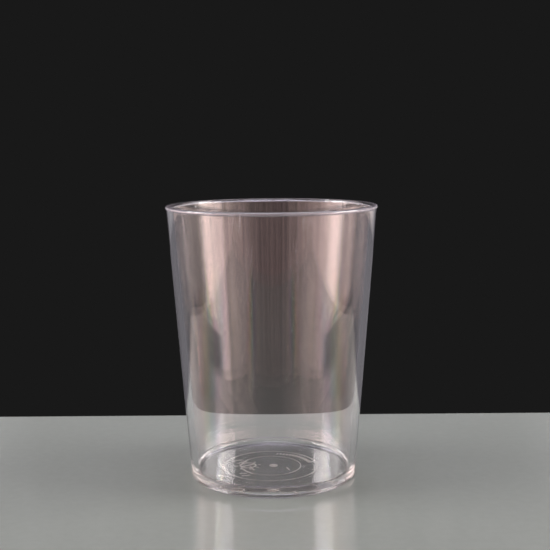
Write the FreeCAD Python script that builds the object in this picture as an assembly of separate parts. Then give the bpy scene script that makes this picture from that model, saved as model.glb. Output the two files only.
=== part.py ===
import FreeCAD, Part
import math
import os

# A clear half-litre tumbler, moulded in one piece.
# Sizes are in millimetres and degrees. The origin is the centre of the foot, with +Z up,
# and +X and +Y lie in the plane that the foot ring stands on.

# Overall sizes
height = 117.0
rim_diameter = 90.0

# Wall, which leans out from the ledge to the rim and thickens towards the floor
ledge_diameter = 72.14
wall_at_rim = 2.3
wall_at_floor = 3.2

# Bead round the outside of the rim
bead_height = 1.5
bead_stand_out = 0.33
rim_outer_round = 0.8
rim_inner_round = 1.2
bead_round = 0.25

# Floor and the fillet where it meets the inside of the wall
floor_thickness = 2.5
floor_fillet = 1.9

# Foot ring, which is a little narrower than the wall above its ledge
foot_height = 5.0
foot_step = 0.4
foot_recess = 1.0
foot_ring_width = 2.6
foot_edge_round = 0.8
foot_inner_round = 0.4
ledge_round = 0.3

# Gate mark in the middle of the underside, a shallow pit in a raised collar
gate_collar_radius = 1.9
gate_pit_radius = 1.1
gate_pit_depth = 0.3

# Raised marks under the floor
mark_height = 0.25
mark_width = 0.7

# Witness rings of the mould's round insert, which sits a little off the axis
insert_offset = -1.15
insert_radius = 20.4
inner_insert_radius = 13.1
witness_width = 0.35
witness_height = 0.15

# Moulder's dial, with ticks round a ring and a pointer across it
dial_centre = (-11.2, 0.3)
dial_radius = 3.4
dial_tick_length = 1.3
dial_tick_gap = 0.7
dial_ticks = 8
pointer_turn = 35.0

# Row of short bars along an arc
bar_row_radius = 16.6
bar_row_start = 15.0
bar_row_end = 84.0
bar_length = 1.8
bars_in_row = 14

# Two plain curved ribs, each given by its radius, bearing and sweep
curved_ribs = [(10.2, 216.0, 30.0), (13.9, 232.0, 32.0)]

# Loose bars, each given by its place, length and turn
loose_bars = [
    ((-15.6, 7.6), 3.4, 20.0),
    ((-14.0, 5.0), 3.0, 20.0),
    ((-12.8, -10.6), 3.2, 8.0),
    ((-11.6, -13.2), 3.6, 12.0),
    ((-22.2, -13.4), 3.2, -22.0),
    ((6.3, -4.6), 4.0, -72.0),
]

# Radii and heights that follow from the sizes above
rim_radius = rim_diameter / 2
wall_outside_at_rim = rim_radius - bead_stand_out
wall_inside_at_rim = wall_outside_at_rim - wall_at_rim
ledge_radius = ledge_diameter / 2
wall_inside_at_floor = ledge_radius - wall_at_floor
foot_radius = ledge_radius - foot_step
foot_inner_radius = foot_radius - foot_ring_width
floor_top = foot_recess + floor_thickness
wall_lean = (wall_outside_at_rim - ledge_radius) / (height - foot_height)
bead_underside = height - bead_height
wall_outside_at_bead = ledge_radius + wall_lean * (bead_underside - foot_height)
bead_slope_height = rim_radius - wall_outside_at_bead
gate_pit_top = foot_recess + gate_pit_depth
gate_collar_bottom = foot_recess - mark_height
mark_root = floor_thickness / 5


# Scale that keeps the rounds at both ends of one edge of an outline inside that edge
def room_for_rounds(edge_length, first_reach, second_reach):
    wanted = first_reach + second_reach
    if wanted <= edge_length:
        return 1.0
    return edge_length / wanted


# Closed face in the XZ plane through corners, each given by its radius, height and rounding
def rounded_face(corners):
    points = [FreeCAD.Vector(across, 0, up) for across, up, rounding in corners]
    roundings = [rounding for across, up, rounding in corners]
    count = len(corners)
    to_last = []
    to_next = []
    half_angles = []
    reaches = []
    for i in range(count):
        to_last.append((points[i - 1] - points[i]).normalize())
        to_next.append((points[(i + 1) % count] - points[i]).normalize())
        half_angles.append(to_last[i].getAngle(to_next[i]) / 2)
        reaches.append(roundings[i] / math.tan(half_angles[i]))
    rooms = []
    for i in range(count):
        after = (i + 1) % count
        edge_length = points[i].distanceToPoint(points[after])
        rooms.append(room_for_rounds(edge_length, reaches[i], reaches[after]))
    edges = []
    starts = []
    ends = []
    for i in range(count):
        reach = reaches[i] * min(rooms[i - 1], rooms[i])
        starts.append(points[i] + to_last[i] * reach)
        ends.append(points[i] + to_next[i] * reach)
        if reach > 0:
            radius = reach * math.tan(half_angles[i])
            inward = (to_last[i] + to_next[i]).normalize()
            middle = points[i] + inward * (radius / math.sin(half_angles[i]) - radius)
            edges.append(Part.Arc(starts[i], middle, ends[i]).toShape())
    for i in range(count):
        after = (i + 1) % count
        if ends[i].distanceToPoint(starts[after]) > Part.Precision.confusion():
            edges.append(Part.LineSegment(ends[i], starts[after]).toShape())
    return Part.Face(Part.Wire(Part.__sortEdges__(edges)))


# Solid of one turn of an outline round the cup's axis
def turned(corners):
    return rounded_face(corners).revolve(FreeCAD.Vector(0, 0, 0), FreeCAD.Vector(0, 0, 1), 360)


# Wall, rim, floor, foot ring and gate mark
def cup_body():
    return turned([
        (0, gate_pit_top, 0),
        (gate_pit_radius, gate_pit_top, 0),
        (gate_pit_radius, gate_collar_bottom, 0),
        (gate_collar_radius, gate_collar_bottom, 0),
        (gate_collar_radius, foot_recess, 0),
        (foot_inner_radius, foot_recess, 0),
        (foot_inner_radius, 0, foot_inner_round),
        (foot_radius, 0, foot_edge_round),
        (foot_radius, foot_height, 0),
        (ledge_radius, foot_height, ledge_round),
        (wall_outside_at_bead, bead_underside, 0),
        (rim_radius, bead_underside + bead_slope_height, bead_round),
        (rim_radius, height, rim_outer_round),
        (wall_inside_at_rim, height, rim_inner_round),
        (wall_inside_at_floor, floor_top, floor_fillet),
        (0, floor_top, 0),
    ])


# Upright ring, or a stretch of one, that stands down from the underside
def curved_rib(radius, width, depth, bearing=0.0, sweep=360.0):
    low = foot_recess - depth
    section = Part.makePolygon([
        FreeCAD.Vector(radius - width / 2, 0, low),
        FreeCAD.Vector(radius + width / 2, 0, low),
        FreeCAD.Vector(radius + width / 2, 0, foot_recess + mark_root),
        FreeCAD.Vector(radius - width / 2, 0, foot_recess + mark_root),
        FreeCAD.Vector(radius - width / 2, 0, low),
    ])
    rib = Part.Face(section).revolve(FreeCAD.Vector(0, 0, 0), FreeCAD.Vector(0, 0, 1), sweep)
    rib.rotate(FreeCAD.Vector(0, 0, 0), FreeCAD.Vector(0, 0, 1), bearing)
    return rib


# Straight bar with its middle at a place on the underside, turned from +X
def straight_bar(place, length, turn):
    bar = Part.makeBox(length, mark_width, mark_height + mark_root)
    bar.translate(FreeCAD.Vector(-length / 2, -mark_width / 2, foot_recess - mark_height))
    bar.rotate(FreeCAD.Vector(0, 0, 0), FreeCAD.Vector(0, 0, 1), turn)
    bar.translate(FreeCAD.Vector(place[0], place[1], 0))
    return bar


# Place at a distance from a centre along a bearing
def place_at(centre, distance, bearing):
    angle = math.radians(bearing)
    return (centre[0] + distance * math.cos(angle), centre[1] + distance * math.sin(angle))


# Rings left by the mould's insert
def witness_rings():
    rings = []
    for radius in (insert_radius, inner_insert_radius):
        ring = curved_rib(radius, witness_width, witness_height)
        ring.translate(FreeCAD.Vector(insert_offset, 0, 0))
        rings.append(ring)
    return rings


# Dial of a ring, its ticks and a pointer
def moulders_dial():
    ring = curved_rib(dial_radius, mark_width, mark_height)
    ring.translate(FreeCAD.Vector(dial_centre[0], dial_centre[1], 0))
    pointer = straight_bar(dial_centre, dial_radius * 2, pointer_turn)
    marks = [ring, pointer]
    tick_distance = dial_radius + mark_width / 2 + dial_tick_gap + dial_tick_length / 2
    for i in range(dial_ticks):
        bearing = pointer_turn + 360 * (i + 0.5) / dial_ticks
        marks.append(straight_bar(place_at(dial_centre, tick_distance, bearing), dial_tick_length, bearing))
    return marks


# Short bars that point at the axis, evenly spaced along an arc
def bar_row():
    step = (bar_row_end - bar_row_start) / (bars_in_row - 1)
    bars = []
    for i in range(bars_in_row):
        bearing = bar_row_start + step * i
        bars.append(straight_bar(place_at((0, 0), bar_row_radius, bearing), bar_length, bearing))
    return bars


def underside_marks():
    marks = witness_rings() + moulders_dial() + bar_row()
    for radius, bearing, sweep in curved_ribs:
        marks.append(curved_rib(radius, mark_width, mark_height, bearing, sweep))
    for place, length, turn in loose_bars:
        marks.append(straight_bar(place, length, turn))
    return marks


os.makedirs("parts", exist_ok=True)
fused = cup_body().multiFuse(underside_marks()).removeSplitter()
tumbler = fused.Solids[0]
tumbler.exportStep("parts/tumbler.step")
print("tumbler valid", tumbler.isValid(), "solids", len(fused.Solids), "faces", len(tumbler.Faces))
print("volume in cubic centimetres", round(tumbler.Volume / 1000, 2))
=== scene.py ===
import bpy
import bmesh
import math
from mathutils import Matrix, Vector


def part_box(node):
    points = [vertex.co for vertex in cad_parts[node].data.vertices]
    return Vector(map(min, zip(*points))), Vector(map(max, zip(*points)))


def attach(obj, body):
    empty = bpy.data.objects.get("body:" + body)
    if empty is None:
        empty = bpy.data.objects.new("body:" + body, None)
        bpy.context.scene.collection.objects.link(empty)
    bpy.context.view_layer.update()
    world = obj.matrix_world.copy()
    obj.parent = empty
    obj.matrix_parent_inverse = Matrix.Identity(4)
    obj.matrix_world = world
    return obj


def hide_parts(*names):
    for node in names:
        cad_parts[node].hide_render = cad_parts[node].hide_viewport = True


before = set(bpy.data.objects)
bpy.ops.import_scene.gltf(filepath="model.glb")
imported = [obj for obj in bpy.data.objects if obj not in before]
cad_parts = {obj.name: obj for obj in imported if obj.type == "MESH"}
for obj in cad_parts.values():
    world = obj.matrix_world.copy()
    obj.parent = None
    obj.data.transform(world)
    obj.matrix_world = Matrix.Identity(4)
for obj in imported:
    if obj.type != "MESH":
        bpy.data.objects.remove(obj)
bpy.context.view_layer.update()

mm = 0.001


def hexColour(code):
    # sRGB hex to linear, which is what the shader sockets take
    parts = [int(code[i:i + 2], 16) / 255 for i in (0, 2, 4)]
    linear = [c / 12.92 if c <= 0.04045 else ((c + 0.055) / 1.055) ** 2.4 for c in parts]
    return (*linear, 1.0)


def addNode(tree, kind, settings=None, inputs=None):
    # one node, its settings, and its inputs as values or as sockets to link from
    node = tree.nodes.new(kind)
    for name, value in (settings or {}).items():
        setattr(node, name, value)
    for name, value in (inputs or {}).items():
        if isinstance(value, bpy.types.NodeSocket):
            tree.links.new(value, node.inputs[name])
        else:
            node.inputs[name].default_value = value
    return node


def newMaterial(name):
    material = bpy.data.materials.new(name)
    material.use_nodes = True
    material.node_tree.nodes.clear()
    return material, material.node_tree


def mixColours(tree, factor, first, second):
    # a mix node's sixth and seventh inputs and second output are its colours, counted from 0
    mix = addNode(tree, "ShaderNodeMix", settings={"data_type": "RGBA"}, inputs={
        "Factor": factor, 6: first, 7: second})
    return mix.outputs[2]


def setStops(ramp, stops):
    # stops of a colour ramp, as places from 0 to 1 and their colours
    elements = ramp.color_ramp.elements
    for i, (at, colour) in enumerate(stops):
        stop = elements[i] if i < 2 else elements.new(1.0)
        stop.position = at
        stop.color = colour
    return ramp.outputs["Color"]


def deselectAll():
    if bpy.context.object and bpy.context.object.mode != "OBJECT":
        bpy.ops.object.mode_set(mode="OBJECT")
    bpy.ops.object.select_all(action="DESELECT")


def openMesh(piece):
    deselectAll()
    piece.select_set(True)
    bpy.context.view_layer.objects.active = piece
    bpy.ops.object.mode_set(mode="EDIT")


def closeMesh():
    bpy.ops.object.mode_set(mode="OBJECT")


print("camera")
cameraView = {
    "place": Vector((1.3, -456.4, 148.5)) * mm,
    "pitchDown": 0.1342,  # radians below level
    "roll": -0.0076,
    "lens": 70.33,  # mm
    "sensor": 36.0,  # mm, a square frame
    "nearest": 0.01,  # m
}


def makeCamera(view):
    bpy.ops.object.camera_add()
    camera = bpy.context.object
    camera.name = "photoCamera"
    camera.data.lens = view["lens"]
    camera.data.sensor_width = view["sensor"]
    camera.data.clip_start = view["nearest"]
    tilt = Matrix.Rotation(math.pi / 2 - view["pitchDown"], 4, "X")
    roll = Matrix.Rotation(view["roll"], 4, "Z")
    camera.matrix_world = Matrix.Translation(view["place"]) @ tilt @ roll
    bpy.context.scene.camera = camera


makeCamera(cameraView)


print("cup body")
low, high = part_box("tumbler")
cup = {
    "steps": 256,  # corners round the cup
    # a hair inside the frame's box, whose rim has flat facets
    "height": high[2] / mm - 0.001,
    "rimRadius": min(high[0], -low[0], high[1], -low[1]) / mm - 0.001,
    "ledgeRadius": 36.07,
    "wallAtRim": 2.3,
    "wallAtFloor": 3.2,
    "beadHeight": 1.5,
    "beadStandOut": 0.33,
    "rimOuterRound": 0.8,
    "rimInnerRound": 1.2,
    "beadRound": 0.25,
    "floorThickness": 2.5,
    "floorFillet": 1.9,
    "footHeight": 5.0,
    "footStep": 0.4,
    "footRecess": 1.0,
    "footRingWidth": 2.6,
    "footEdgeRound": 0.8,
    "footRecessRound": 0.4,
    "ledgeRound": 0.28,
    "ledgeInnerRound": 0.1,
    "gateCollarRadius": 1.9,
    "gatePitRadius": 1.1,
    "gatePitDepth": 0.3,
    "markHeight": 0.25,
    "smoothAngle": 31,  # degrees, and sharper edges stay crisp
}


def cupCorners(c):
    # the outline from the gate mark under the floor, out over the foot, up, over the rim and
    # down inside, as radius, height, rounding and how many facets the rounding gets
    wallOutsideAtRim = c["rimRadius"] - c["beadStandOut"]
    wallInsideAtRim = wallOutsideAtRim - c["wallAtRim"]
    wallInsideAtFloor = c["ledgeRadius"] - c["wallAtFloor"]
    footRadius = c["ledgeRadius"] - c["footStep"]
    footInner = footRadius - c["footRingWidth"]
    floorTop = c["footRecess"] + c["floorThickness"]
    lean = (wallOutsideAtRim - c["ledgeRadius"]) / (c["height"] - c["footHeight"])
    beadUnder = c["height"] - c["beadHeight"]
    wallAtBead = c["ledgeRadius"] + lean * (beadUnder - c["footHeight"])
    pitTop = c["footRecess"] + c["gatePitDepth"]
    collarLow = c["footRecess"] - c["markHeight"]
    return [
        (c["gatePitRadius"], pitTop, 0, 1),
        (c["gatePitRadius"], collarLow, 0, 1),
        (c["gateCollarRadius"], collarLow, 0, 1),
        (c["gateCollarRadius"], c["footRecess"], 0, 1),
        (footInner, c["footRecess"], c["footRecessRound"], 5),
        (footInner, 0, c["footRecessRound"], 5),
        (footRadius, 0, c["footEdgeRound"], 8),
        (footRadius, c["footHeight"], c["ledgeInnerRound"], 3),
        (c["ledgeRadius"], c["footHeight"], c["ledgeRound"], 6),
        (wallAtBead, beadUnder, c["beadRound"], 4),
        (c["rimRadius"], beadUnder + c["rimRadius"] - wallAtBead, c["beadRound"], 4),
        (c["rimRadius"], c["height"], c["rimOuterRound"], 10),
        (wallInsideAtRim, c["height"], c["rimInnerRound"], 12),
        (wallInsideAtFloor, floorTop, c["floorFillet"], 12),
    ]


def bevelReach(corners, i):
    # how far along both sides a rounding of corner i starts
    here = Vector(corners[i][:2])
    toLast = (Vector(corners[i - 1][:2]) - here).normalized()
    toNext = (Vector(corners[(i + 1) % len(corners)][:2]) - here).normalized()
    return corners[i][2] / math.tan(toLast.angle(toNext) / 2)


def selectRing(piece, radius, height):
    # the edges of one ring of the lathed form
    near = 0.02 * mm
    bpy.ops.mesh.select_all(action="DESELECT")
    mesh = bmesh.from_edit_mesh(piece.data)
    for edge in mesh.edges:
        level = all(abs(v.co.z - height) < near for v in edge.verts)
        if level and all(abs(v.co.xy.length - radius) < near for v in edge.verts):
            edge.select_set(True)
    bmesh.update_edit_mesh(piece.data)


def latheCup(c):
    corners = cupCorners(c)
    radius, height = corners[0][0] * mm, corners[0][1] * mm
    deselectAll()
    bpy.ops.mesh.primitive_circle_add(
        vertices=c["steps"], radius=radius, fill_type="NGON", location=(0, 0, height))
    piece = bpy.context.object
    piece.name = "tumblerWall"
    bpy.ops.object.transform_apply(location=True, rotation=True, scale=True)
    openMesh(piece)
    bpy.ops.mesh.select_mode(type="EDGE")
    selectRing(piece, radius, height)
    for nextRadius, nextHeight, rounding, facets in corners[1:]:
        rise = nextHeight * mm - height
        grow = nextRadius * mm / radius
        bpy.ops.mesh.extrude_edges_move(TRANSFORM_OT_translate={"value": (0, 0, rise)})
        radius, height = nextRadius * mm, nextHeight * mm
        bpy.ops.transform.resize(value=(grow, grow, 1), center_override=(0, 0, height))
    bpy.ops.mesh.edge_face_add()  # the flat of the floor
    for i, (ringRadius, ringHeight, rounding, facets) in enumerate(corners):
        if rounding:
            selectRing(piece, ringRadius * mm, ringHeight * mm)
            bpy.ops.mesh.bevel(
                offset_type="OFFSET", offset=bevelReach(corners, i) * mm, segments=facets,
                profile=0.5, clamp_overlap=False)
    bpy.ops.mesh.select_all(action="SELECT")
    bpy.ops.mesh.normals_make_consistent(inside=False)
    closeMesh()
    return piece


tumbler = latheCup(cup)


print("marks under the floor")
marks = {
    "height": cup["markHeight"],
    "width": 0.7,
    "root": 0.5,  # how far a mark reaches up into the floor, so that the two join
    "witnessCentre": (-1.15, 0),
    "witnessRadii": (20.4, 13.1),
    "witnessWidth": 0.35,
    "witnessHeight": 0.15,
    "dialCentre": (-11.2, 0.3),
    "dialRadius": 3.4,
    "tickLength": 1.3,
    "tickGap": 0.7,
    "ticks": 8,
    "pointerTurn": 35,
    "rowRadius": 16.6,
    "rowBearings": (15, 84),
    "rowBars": 14,
    "rowBarLength": 1.8,
    "ribs": [(10.2, 216, 30), (13.9, 232, 32)],  # radius, bearing and sweep
    # place, length and turn
    "bars": [((-15.6, 7.6), 3.4, 20), ((-14.0, 5.0), 3.0, 20), ((-12.8, -10.6), 3.2, 8),
             ((-11.6, -13.2), 3.6, 12), ((-22.2, -13.4), 3.2, -22), ((6.3, -4.6), 4.0, -72)],
    "stepAngle": 4,  # degrees between the corners of a curved mark
    "fewestSteps": 12,
}
underside = cup["footRecess"]


def addBar(place, length, turn):
    # a bar of the marks' width, its middle at a place under the floor
    deselectAll()
    bpy.ops.mesh.primitive_cube_add(size=mm, location=(0, 0, 0))
    bar = bpy.context.object
    low, high = underside - marks["height"], underside + marks["root"]
    bar.scale = (length, marks["width"], high - low)
    bar.rotation_euler = (0, 0, math.radians(turn))
    bar.location = Vector((place[0], place[1], (low + high) / 2)) * mm
    bpy.ops.object.transform_apply(location=True, rotation=True, scale=True)
    return bar


def addRib(centre, radius, width, height, bearing=0, sweep=360):
    # a small upright section, spun round a centre
    deselectAll()
    low, high = underside - height, underside + marks["root"]
    bpy.ops.mesh.primitive_plane_add(size=mm, location=(0, 0, 0))
    rib = bpy.context.object
    rib.scale = (width, high - low, 1)
    rib.rotation_euler = (math.pi / 2, 0, 0)
    rib.location = Vector((radius, 0, (low + high) / 2)) * mm
    bpy.ops.object.transform_apply(location=True, rotation=True, scale=True)
    openMesh(rib)
    bpy.ops.mesh.select_all(action="SELECT")
    if sweep == 360:
        bpy.ops.mesh.delete(type="ONLY_FACE")  # a full ring has no end faces
        bpy.ops.mesh.select_all(action="SELECT")
    steps = max(marks["fewestSteps"], round(sweep / marks["stepAngle"]))
    bpy.ops.mesh.spin(steps=steps, angle=math.radians(sweep), center=(0, 0, 0), axis=(0, 0, 1))
    bpy.ops.mesh.select_all(action="SELECT")
    bpy.ops.mesh.remove_doubles(threshold=0.001 * mm)
    bpy.ops.mesh.normals_make_consistent(inside=False)
    closeMesh()
    rib.rotation_euler = (0, 0, math.radians(bearing))
    rib.location = Vector((centre[0], centre[1], 0)) * mm
    bpy.ops.object.transform_apply(location=True, rotation=True, scale=True)
    return rib


def placeAt(centre, distance, bearing):
    angle = math.radians(bearing)
    return (centre[0] + distance * math.cos(angle), centre[1] + distance * math.sin(angle))


def makeMarks(m):
    made = []
    for radius in m["witnessRadii"]:
        made.append(addRib(m["witnessCentre"], radius, m["witnessWidth"], m["witnessHeight"]))
    made.append(addRib(m["dialCentre"], m["dialRadius"], m["width"], m["height"]))
    made.append(addBar(m["dialCentre"], 2 * m["dialRadius"], m["pointerTurn"]))
    tickDistance = m["dialRadius"] + m["width"] / 2 + m["tickGap"] + m["tickLength"] / 2
    for i in range(m["ticks"]):
        bearing = m["pointerTurn"] + 360 * (i + 0.5) / m["ticks"]
        place = placeAt(m["dialCentre"], tickDistance, bearing)
        made.append(addBar(place, m["tickLength"], bearing))
    first, last = m["rowBearings"]
    for i in range(m["rowBars"]):
        bearing = first + (last - first) * i / (m["rowBars"] - 1)
        made.append(addBar(placeAt((0, 0), m["rowRadius"], bearing), m["rowBarLength"], bearing))
    for radius, bearing, sweep in m["ribs"]:
        made.append(addRib((0, 0), radius, m["width"], m["height"], bearing, sweep))
    for place, length, turn in m["bars"]:
        made.append(addBar(place, length, turn))
    return made


def joinMarks(piece, made):
    # one solid: the marks are united with the floor, as they are moulded
    deselectAll()
    for mark in made:
        mark.select_set(True)
    bpy.context.view_layer.objects.active = made[0]
    bpy.ops.object.join()
    together = bpy.context.object
    union = piece.modifiers.new("mouldedMarks", "BOOLEAN")
    union.operation = "UNION"
    union.solver = "EXACT"
    union.use_self = True
    union.object = together
    deselectAll()
    piece.select_set(True)
    bpy.context.view_layer.objects.active = piece
    bpy.ops.object.modifier_apply(modifier=union.name)
    bpy.data.objects.remove(together)


joinMarks(tumbler, makeMarks(marks))


print("finish")
gloss = {
    "ior": 1.585,  # polycarbonate
    "tint": "FCFBFC",
    "scuffs": 0.08,  # sheen of very fine scuffs, which shows where the wall is seen edge on
    "scuffRoughness": 0.35,
    "scuffTint": "F1ECFF",
    "streakWidth": 2.2,  # mm across a polishing streak
    "streakStretch": 0.012,  # streaks run up the wall, some 80 times as long as they are wide
    "streakHeight": 0.0025,  # mm, on a wall that is otherwise a mirror
    "streakDetail": 3.0,
    "streakRoughness": 0.65,  # how much of the noise is fine
    # colours that the stress gives, and painted shade at the wall's sides as seen from the front,
    # by distance from the YZ plane in mm
    "stressAndShadeColours": [(20.0, "FFFFFF"), (22.3, "F0E2FF"), (24.4, "C4EAF2"), (26.6, "ECF8C8"),
                      (28.6, "FFE0E0"), (30.5, "FFFFFF")],
    # how strong they are by height in mm
    "stressAndShadeUp": [(16, 0.0), (22, 0.35), (38, 0.5), (42, 1.0), (66, 1.0), (90, 0.0)],
    # rings that the core's turned end leaves on the floor, by distance from the axis in mm
    "floorRings": [(0, 0.0), (22.8, 0.0), (23.1, 0.7), (23.4, 0.0), (26.0, 0.0), (26.3, 0.8),
                   (26.6, 0.0), (28.7, 0.0), (29.1, 1.0), (29.5, 0.0), (40, 0.0)],
    "ringRoughness": 0.3,
    # the marks: frosted, and an opaque near-white that partly is a painted highlight for the
    # glints on their edges
    "erodedGlintTint": "FFFCF6",
    "erodedRoughness": 0.6,
    # the rim's outside: a faint roughness and a near-white diffuse share that paints in the rim's
    # highlight
    "rimHighlightTint": "F6F2FF",
    "rimHighlightRoughness": 0.15,
    "rimHighlightClear": 0.78,  # share of light that still goes through
    "rimHighlightReach": 0.7,  # mm in from the rim's outside
}


def mouldStreaks(tree, place):
    # the toolmaker polishes the core and cavity lengthwise, which leaves very faint upright lines
    along = addNode(tree, "ShaderNodeMapping", inputs={
        "Vector": place, "Scale": (1, 1, gloss["streakStretch"])})
    lines = addNode(tree, "ShaderNodeTexNoise", inputs={
        "Vector": along.outputs["Vector"], "Scale": 1 / (gloss["streakWidth"] * mm),
        "Detail": gloss["streakDetail"], "Roughness": gloss["streakRoughness"]})
    return addNode(tree, "ShaderNodeBump", inputs={
        "Height": lines.outputs["Fac"], "Strength": 1.0, "Distance": gloss["streakHeight"] * mm})


def colourAlong(tree, distance, stops):
    # a colour along a distance, from stops in mm
    reach = stops[-1][0]
    part = addNode(tree, "ShaderNodeMapRange", inputs={
        "Value": distance, "From Min": 0, "From Max": reach * mm})
    ramp = addNode(tree, "ShaderNodeValToRGB", inputs={"Fac": part.outputs["Result"]})
    return setStops(ramp, [(at / reach, colour) for at, colour in stops])


def levelAlong(tree, distance, levels):
    # a level from 0 to 1 along a distance, from stops in mm
    return colourAlong(tree, distance, [(at, (level, level, level, 1)) for at, level in levels])


def mouldStressAndShade(tree, place):
    # stress that was frozen in as the wall cooled colours what is seen through it,
    # in faint upright bands; laid by distance sideways from the YZ plane, they are also painted
    # shade at the wall's sides as seen from the front
    split = addNode(tree, "ShaderNodeSeparateXYZ", inputs={"Vector": place})
    away = addNode(tree, "ShaderNodeMath", settings={"operation": "ABSOLUTE"}, inputs={
        0: split.outputs["X"]})
    stops = [(at, hexColour(code)) for at, code in gloss["stressAndShadeColours"]]
    bands = colourAlong(tree, away.outputs["Value"], stops)
    up = levelAlong(tree, split.outputs["Z"], gloss["stressAndShadeUp"])
    return mixColours(tree, up, hexColour(gloss["tint"]), bands)


def mouldedPolycarbonate():
    # clear polycarbonate, injection moulded in a polished tool: glassy, with faint upright
    # polishing lines and a breath of rainbow where the wall cooled under stress, which is also
    # painted shade at the wall's sides
    material, tree = newMaterial("mouldedPolycarbonate")
    place = addNode(tree, "ShaderNodeTexCoord").outputs["Object"]
    shader = addNode(tree, "ShaderNodeBsdfPrincipled", inputs={
        "Base Color": mouldStressAndShade(tree, place),
        "Roughness": 0.0,
        "IOR": gloss["ior"],
        "Transmission Weight": 1.0,
        "Sheen Weight": gloss["scuffs"],
        "Sheen Roughness": gloss["scuffRoughness"],
        "Sheen Tint": hexColour(gloss["scuffTint"]),
        "Normal": mouldStreaks(tree, place).outputs["Normal"],
    })
    addNode(tree, "ShaderNodeOutputMaterial", inputs={"Surface": shader.outputs["BSDF"]})
    return material


def turnedPolycarbonate():
    # the same plastic on the floor, under it and on the foot, where the tool was turned and
    # then polished: clear and glossy, with a few fine rings
    material, tree = newMaterial("turnedPolycarbonate")
    place = addNode(tree, "ShaderNodeTexCoord").outputs["Object"]
    flat = addNode(tree, "ShaderNodeVectorMath", settings={"operation": "MULTIPLY"}, inputs={
        0: place, 1: (1, 1, 0)})
    out = addNode(tree, "ShaderNodeVectorMath", settings={"operation": "LENGTH"}, inputs={
        0: flat.outputs["Vector"]})
    rings = levelAlong(tree, out.outputs["Value"], gloss["floorRings"])
    rough = addNode(tree, "ShaderNodeMath", settings={"operation": "MULTIPLY"}, inputs={
        0: rings, 1: gloss["ringRoughness"]})
    shader = addNode(tree, "ShaderNodeBsdfPrincipled", inputs={
        "Base Color": hexColour(gloss["tint"]),
        "Roughness": rough.outputs["Value"],
        "IOR": gloss["ior"],
        "Transmission Weight": 1.0,
    })
    addNode(tree, "ShaderNodeOutputMaterial", inputs={"Surface": shader.outputs["BSDF"]})
    return material


def erodedGlintPolycarbonate():
    # the same plastic where the tool was spark eroded: frosted, so the marks catch the light, and
    # an opaque near-white, which partly is a painted highlight for the glints on the marks' edges
    material, tree = newMaterial("erodedGlintPolycarbonate")
    shader = addNode(tree, "ShaderNodeBsdfPrincipled", inputs={
        "Base Color": hexColour(gloss["erodedGlintTint"]),
        "Roughness": gloss["erodedRoughness"],
        "IOR": gloss["ior"],
    })
    addNode(tree, "ShaderNodeOutputMaterial", inputs={"Surface": shader.outputs["BSDF"]})
    return material


def paintedRimHighlight():
    # the same plastic round the outside of the rim, faintly rough, with a near-white, faintly
    # lavender diffuse share: a painted highlight for the bright band that light gives the rim
    # bead
    material, tree = newMaterial("paintedRimHighlight")
    shader = addNode(tree, "ShaderNodeBsdfPrincipled", inputs={
        "Base Color": hexColour(gloss["rimHighlightTint"]),
        "Roughness": gloss["rimHighlightRoughness"],
        "IOR": gloss["ior"],
        "Transmission Weight": gloss["rimHighlightClear"],
    })
    addNode(tree, "ShaderNodeOutputMaterial", inputs={"Surface": shader.outputs["BSDF"]})
    return material


# where each finish ends, in mm, with some slack so that faces right on an edge are caught
finishEdges = {
    "marksReach": 28,  # all marks are nearer to the axis than this
    "markSlack": 0.02,
    "gateSlack": 0.05,
    "floorSlack": 0.01,
    "filletSlack": 0.2,
}


def finishFaces(piece, c, edges):
    # sorts the faces into the four finishes, in the order in which the materials are added
    floorTop = c["footRecess"] + c["floorThickness"]
    filletOut = c["ledgeRadius"] - c["wallAtFloor"] + edges["filletSlack"]
    gateTop = c["footRecess"] + c["gatePitDepth"] + edges["gateSlack"]
    gateOut = c["gateCollarRadius"] + edges["gateSlack"]
    rimLow = c["height"] - c["beadHeight"]
    rimIn = c["rimRadius"] - gloss["rimHighlightReach"]
    walls, frostedGlintFaces, turned, rimHighlightFaces = range(4)
    for face in piece.data.polygons:
        up = face.center.z / mm
        out = face.center.xy.length / mm
        onMark = up < underside - edges["markSlack"] and out < edges["marksReach"]
        onGate = out < gateOut and up < gateTop
        onFillet = out < filletOut and up < floorTop + c["floorFillet"]
        # the marks and the gate take the frosted finish with its partly painted highlight
        if onMark or onGate:
            face.material_index = frostedGlintFaces
        elif up < floorTop + edges["floorSlack"] or onFillet:
            face.material_index = turned
        # the rim's outside takes the painted rim highlight
        elif up > rimLow and out > rimIn:
            face.material_index = rimHighlightFaces
        else:
            face.material_index = walls


tumbler.data.materials.append(mouldedPolycarbonate())
tumbler.data.materials.append(erodedGlintPolycarbonate())
tumbler.data.materials.append(turnedPolycarbonate())
tumbler.data.materials.append(paintedRimHighlight())
finishFaces(tumbler, cup, finishEdges)
deselectAll()
tumbler.select_set(True)
bpy.context.view_layer.objects.active = tumbler
bpy.ops.object.shade_smooth_by_angle(angle=math.radians(cup["smoothAngle"]))
weighted = tumbler.modifiers.new("evenShading", "WEIGHTED_NORMAL")
weighted.keep_sharp = True
bpy.ops.object.modifier_apply(modifier=weighted.name)

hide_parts("tumbler")
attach(tumbler, "root")


print("table and room")
table = {
    "behind": 95.0,  # how far the far edge is behind the cup's axis
    "before": 330.0,
    "halfWidth": 300.0,
    "thickness": 30.0,
    "edgeRound": 1.0,
    "gap": 0.03,  # hard plastic never sits flush, so light turns back at the foot
}


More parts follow.
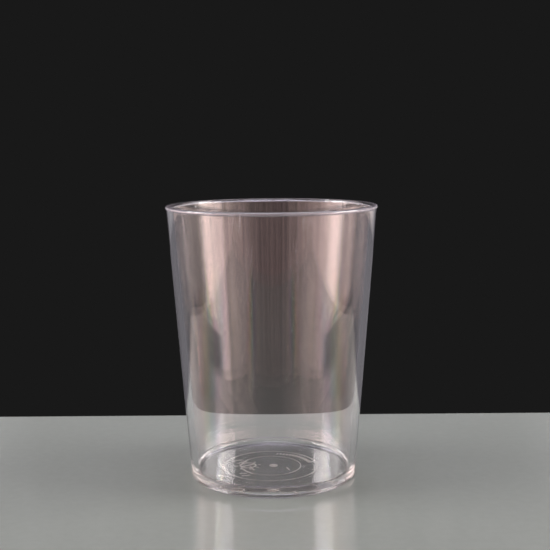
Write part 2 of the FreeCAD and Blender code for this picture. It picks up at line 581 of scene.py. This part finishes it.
def makeTable(t):
    depth = t["behind"] + t["before"]
    deselectAll()
    bpy.ops.mesh.primitive_cube_add(size=1, location=(0, 0, 0))
    slab = bpy.context.object
    slab.name = "tableTop"
    slab.scale = (2 * t["halfWidth"] * mm, depth * mm, t["thickness"] * mm)
    slab.location = (0, (t["behind"] - depth / 2) * mm, (-t["gap"] - t["thickness"] / 2) * mm)
    bpy.ops.object.transform_apply(location=True, rotation=True, scale=True)
    openMesh(slab)
    bpy.ops.mesh.select_all(action="SELECT")
    bpy.ops.mesh.bevel(offset=t["edgeRound"] * mm, segments=3)
    closeMesh()
    return slab


def straightSight(tree):
    # 1 for what the camera sees directly or straight through the cup, 0 for light and reflections
    path = addNode(tree, "ShaderNodeLightPath")
    bounced = addNode(tree, "ShaderNodeMath", settings={"operation": "ADD"}, inputs={
        0: path.outputs["Glossy Depth"], 1: path.outputs["Diffuse Depth"]})
    unbounced = addNode(tree, "ShaderNodeMath", settings={"operation": "LESS_THAN"}, inputs={
        0: bounced.outputs["Value"], 1: 0.5})
    through = addNode(tree, "ShaderNodeMath", settings={"operation": "MULTIPLY"}, inputs={
        0: path.outputs["Is Transmission Ray"], 1: unbounced.outputs["Value"]})
    straight = addNode(tree, "ShaderNodeMath", settings={"operation": "MAXIMUM"}, inputs={
        0: path.outputs["Is Camera Ray"], 1: through.outputs["Value"]})
    return straight.outputs["Value"]


lacquer = {
    "ior": 1.5,
    "colours": ("828884", "8A908C"),
    "mottle": 4.0,  # mm across a patch
    "peel": 2.5,  # mm across a wave of the orange peel
    "peelHeight": 0.001,  # mm
    "gloss": 0.18,  # share that is mirrored where the camera sees it, the same from every side
    "roughness": (0.01, 0.03),
}


def lacqueredBoard(look):
    # pale grey lacquered board: an even colour under a clear gloss, with the faint mottle
    # of rolled lacquer
    material, tree = newMaterial("lacqueredBoard")
    place = addNode(tree, "ShaderNodeTexCoord").outputs["Object"]
    mottle = addNode(tree, "ShaderNodeTexNoise", inputs={
        "Vector": place, "Scale": 1 / (look["mottle"] * mm), "Detail": 4.0, "Roughness": 0.6})
    darker, paler = [hexColour(code) for code in look["colours"]]
    colour = mixColours(tree, mottle.outputs["Fac"], darker, paler)
    peel = addNode(tree, "ShaderNodeTexNoise", inputs={
        "Vector": place, "Scale": 1 / (look["peel"] * mm), "Detail": 2.0})
    waves = addNode(tree, "ShaderNodeBump", inputs={
        "Height": peel.outputs["Fac"], "Strength": 1.0, "Distance": look["peelHeight"] * mm})
    smoother, rougher = look["roughness"]
    gleam = addNode(tree, "ShaderNodeMapRange", inputs={
        "Value": mottle.outputs["Fac"], "To Min": smoother, "To Max": rougher})
    paint = addNode(tree, "ShaderNodeBsdfDiffuse", inputs={"Color": colour})
    grazing = addNode(tree, "ShaderNodeFresnel", inputs={"IOR": look["ior"]})
    share = addNode(tree, "ShaderNodeMapRange", inputs={
        "Value": straightSight(tree), "To Min": grazing.outputs["Fac"], "To Max": look["gloss"]})
    mirror = addNode(tree, "ShaderNodeBsdfGlossy", inputs={
        "Roughness": gleam.outputs["Result"], "Normal": waves.outputs["Normal"]})
    both = addNode(tree, "ShaderNodeMixShader", inputs={
        0: share.outputs["Result"], 1: paint.outputs["BSDF"], 2: mirror.outputs["BSDF"]})
    addNode(tree, "ShaderNodeOutputMaterial", inputs={"Surface": both.outputs["Shader"]})
    return material


slab = makeTable(table)
slab.data.materials.append(lacqueredBoard(lacquer))


room = {
    "dark": "191919",
    "fill": "5E5B5A",  # above and below the tent
}


def makeWorld(r):
    world = bpy.data.worlds.new("darkRoom")
    bpy.context.scene.world = world
    world.use_nodes = True
    tree = world.node_tree
    tree.nodes.clear()
    colour = mixColours(tree, straightSight(tree), hexColour(r["fill"]), hexColour(r["dark"]))
    background = addNode(tree, "ShaderNodeBackground", inputs={"Color": colour})
    addNode(tree, "ShaderNodeOutputWorld", inputs={
        "Surface": background.outputs["Background"]})


makeWorld(room)


print("light tent")
# a white tent round the cup, lit from outside, and only seen as light and in reflections
tent = {
    "radius": 850.0,
    "height": 720.0,
    "below": 420.0,  # how far it hangs lower than the table top
    "steps": 96,
    "strength": (6.4, 12.9),  # at the table's level, and from 340 mm up
    "blend": (180.0, 340.0),  # heights between which the low glow gives way to the high one
    "under": "2A292B",  # below the table's level, at the sides and the back
    "underBlend": 8.0,  # mm below the table's level in which that colour comes in
    # degrees from the front between which the cloth stops going on below the table's level
    "underFront": (74, 84),
    "foldWidth": 40.0,
    "foldStretch": 0.04,  # folds are some 25 times as long as they are wide
    "foldContrast": (0.3, 0.7),  # levels of the noise that make the deepest shade and the palest
    "foldShade": 0.5,
    # bearing from the camera's side, with + to the right, and how the cloth glows there
    "lowGlow": [
        (-160, "0D0C0D"), (-154, "403F41"), (-132, "434142"), (-123, "9B8984"), (-117, "B9A39D"),
        (-110, "A28F8A"), (-104, "A6928D"), (-98, "C1AAA4"), (-93, "CAB1AB"), (-86, "C3AAA5"),
        (-76, "B9A19B"), (-68, "9B8581"), (-58, "84706D"), (-40, "695855"), (-24, "524442"),
        (-12, "453837"), (10, "463A38"), (24, "564947"), (40, "6B5C59"), (54, "857470"),
        (63, "9E8B86"), (70, "C7B0AA"), (77, "D9C1BA"), (85, "E1CAC1"), (93, "E5CEC6"),
        (98, "B9A79F"), (103, "94857F"), (112, "6C625D"), (122, "756A65"), (130, "625A57"),
        (154, "403F41"), (160, "0D0C0D")],
    "highGlow": [
        (-152, "1A1919"), (-130, "343333"), (-110, "454343"), (-92, "4E4C4C"), (-68, "4E4C4C"),
        (-44, "484646"), (-10, "444242"), (10, "444242"), (44, "484646"), (68, "4E4C4C"),
        (92, "4E4C4C"), (110, "403E3E"), (130, "2A2929"), (150, "1A1919")],
}


def addGlow(tree, turn, glow):
    # the cloth's colour by bearing
    ramp = addNode(tree, "ShaderNodeValToRGB", inputs={"Fac": turn.outputs["Result"]})
    return setStops(ramp, [((angle + 180) / 360, hexColour(code)) for angle, code in glow])


def tentCloth(t):
    # thin white nylon, lit from behind: no weave to be seen from here, but soft upright folds
    material, tree = newMaterial("tentNylon")
    place = addNode(tree, "ShaderNodeTexCoord").outputs["Object"]
    split = addNode(tree, "ShaderNodeSeparateXYZ", inputs={"Vector": place})
    height = split.outputs["Z"]

    # bearing from the camera's side, in radians and as a share of the whole turn
    front = addNode(tree, "ShaderNodeMath", settings={"operation": "MULTIPLY"}, inputs={
        0: split.outputs["Y"], 1: -1})
    bearing = addNode(tree, "ShaderNodeMath", settings={"operation": "ARCTAN2"}, inputs={
        0: split.outputs["X"], 1: front.outputs["Value"]})
    turn = addNode(tree, "ShaderNodeMapRange", inputs={
        "Value": bearing.outputs["Value"], "From Min": -math.pi, "From Max": math.pi})

    # the low glow, the high one, and the cloth below the table's level
    low = addGlow(tree, turn, t["lowGlow"])
    blendLow, blendHigh = [level * mm for level in t["blend"]]
    smooth = {"interpolation_type": "SMOOTHSTEP"}
    high = addNode(tree, "ShaderNodeMapRange", settings=smooth, inputs={
        "Value": height, "From Min": blendLow, "From Max": blendHigh})
    cloth = mixColours(tree, high.outputs["Result"], low, addGlow(tree, turn, t["highGlow"]))
    aside = addNode(tree, "ShaderNodeMath", settings={"operation": "ABSOLUTE"}, inputs={
        0: bearing.outputs["Value"]})
    frontEdge, sideEdge = [math.radians(angle) for angle in t["underFront"]]
    sides = addNode(tree, "ShaderNodeMapRange", inputs={
        "Value": aside.outputs["Value"], "From Min": frontEdge, "From Max": sideEdge})
    under = mixColours(tree, sides.outputs["Result"], low, hexColour(t["under"]))
    above = addNode(tree, "ShaderNodeMapRange", inputs={
        "Value": height, "From Min": -t["underBlend"] * mm, "From Max": 0})
    cloth = mixColours(tree, above.outputs["Result"], under, cloth)

    # brighter higher up, and shaded by the folds
    weak, strong = t["strength"]
    rise = addNode(tree, "ShaderNodeMapRange", inputs={
        "Value": height, "From Min": 0, "From Max": blendHigh, "To Min": weak, "To Max": strong})
    folds = addNode(tree, "ShaderNodeMapping", inputs={
        "Vector": place, "Scale": (1, 1, t["foldStretch"])})
    creases = addNode(tree, "ShaderNodeTexNoise", inputs={
        "Vector": folds.outputs["Vector"], "Scale": 1 / (t["foldWidth"] * mm),
        "Detail": 4.0, "Roughness": 0.6})
    deep, pale = t["foldContrast"]
    shade = addNode(tree, "ShaderNodeMapRange", inputs={
        "Value": creases.outputs["Fac"], "From Min": deep, "From Max": pale,
        "To Min": 1 - t["foldShade"], "To Max": 1 + t["foldShade"]})
    strength = addNode(tree, "ShaderNodeMath", settings={"operation": "MULTIPLY"}, inputs={
        0: rise.outputs["Result"], 1: shade.outputs["Result"]})

    glow = addNode(tree, "ShaderNodeEmission", inputs={
        "Color": cloth, "Strength": strength.outputs["Value"]})
    backdrop = addNode(tree, "ShaderNodeEmission", inputs={
        "Color": hexColour(room["dark"]), "Strength": 1.0})
    either = addNode(tree, "ShaderNodeMixShader", inputs={
        0: straightSight(tree), 1: glow.outputs["Emission"], 2: backdrop.outputs["Emission"]})
    addNode(tree, "ShaderNodeOutputMaterial", inputs={"Surface": either.outputs["Shader"]})
    return material


def makeTent(t):
    deselectAll()
    bpy.ops.mesh.primitive_circle_add(
        vertices=t["steps"], radius=t["radius"] * mm, location=(0, 0, -t["below"] * mm))
    wall = bpy.context.object
    wall.name = "lightTent"
    bpy.ops.object.transform_apply(location=True, rotation=True, scale=True)
    openMesh(wall)
    bpy.ops.mesh.select_all(action="SELECT")
    rise = (t["below"] + t["height"]) * mm
    bpy.ops.mesh.extrude_edges_move(TRANSFORM_OT_translate={"value": (0, 0, rise)})
    bpy.ops.mesh.select_all(action="SELECT")
    bpy.ops.mesh.normals_make_consistent(inside=True)
    closeMesh()
    wall.data.materials.append(tentCloth(t))


makeTent(tent)


print("soft lights")
# cool light from above and behind, and a strong soft box at each side for the bright edges
softLights = {
    "topLight": {
        "place": (0, 0, 760), "size": (340, 340), "radiance": 3.0, "colour": "F1ECFF",
        "mirrored": True},
    "leftBox": {
        "place": (-692, -40, 390), "size": (460, 250), "radiance": 14.0, "colour": "FFFAF8",
        "mirrored": True},
    "rightBox": {
        "place": (692, -40, 390), "size": (460, 250), "radiance": 14.0, "colour": "FFFAF8",
        "mirrored": True},
    "backLight": {
        "place": (0, 620, 560), "size": (900, 220), "radiance": 3.0, "colour": "EDE6FF",
        "mirrored": False},  # or the table would mirror it in views from above
}


def makeSoftLight(name, light):
    bpy.ops.object.light_add(type="AREA", location=tuple(Vector(light["place"]) * mm))
    lamp = bpy.context.object
    lamp.name = name
    # its back is turned away from the cup
    lamp.rotation_euler = Vector(light["place"]).to_track_quat("Z", "Y").to_euler()
    lamp.data.shape = "RECTANGLE"
    lamp.data.size = light["size"][0] * mm
    lamp.data.size_y = light["size"][1] * mm
    lamp.data.color = hexColour(light["colour"])[:3]
    area = lamp.data.size * lamp.data.size_y
    lamp.data.energy = light["radiance"] * area * math.pi  # watts that give this radiance
    lamp.visible_camera = False
    lamp.visible_glossy = light["mirrored"]


for name, light in softLights.items():
    makeSoftLight(name, light)

scene = bpy.context.scene
scene.view_settings.view_transform = "Standard"
# light that runs on inside the wall needs more turns than usual
scene.cycles.max_bounces = 24
scene.cycles.glossy_bounces = 12
scene.cycles.transmission_bounces = 20
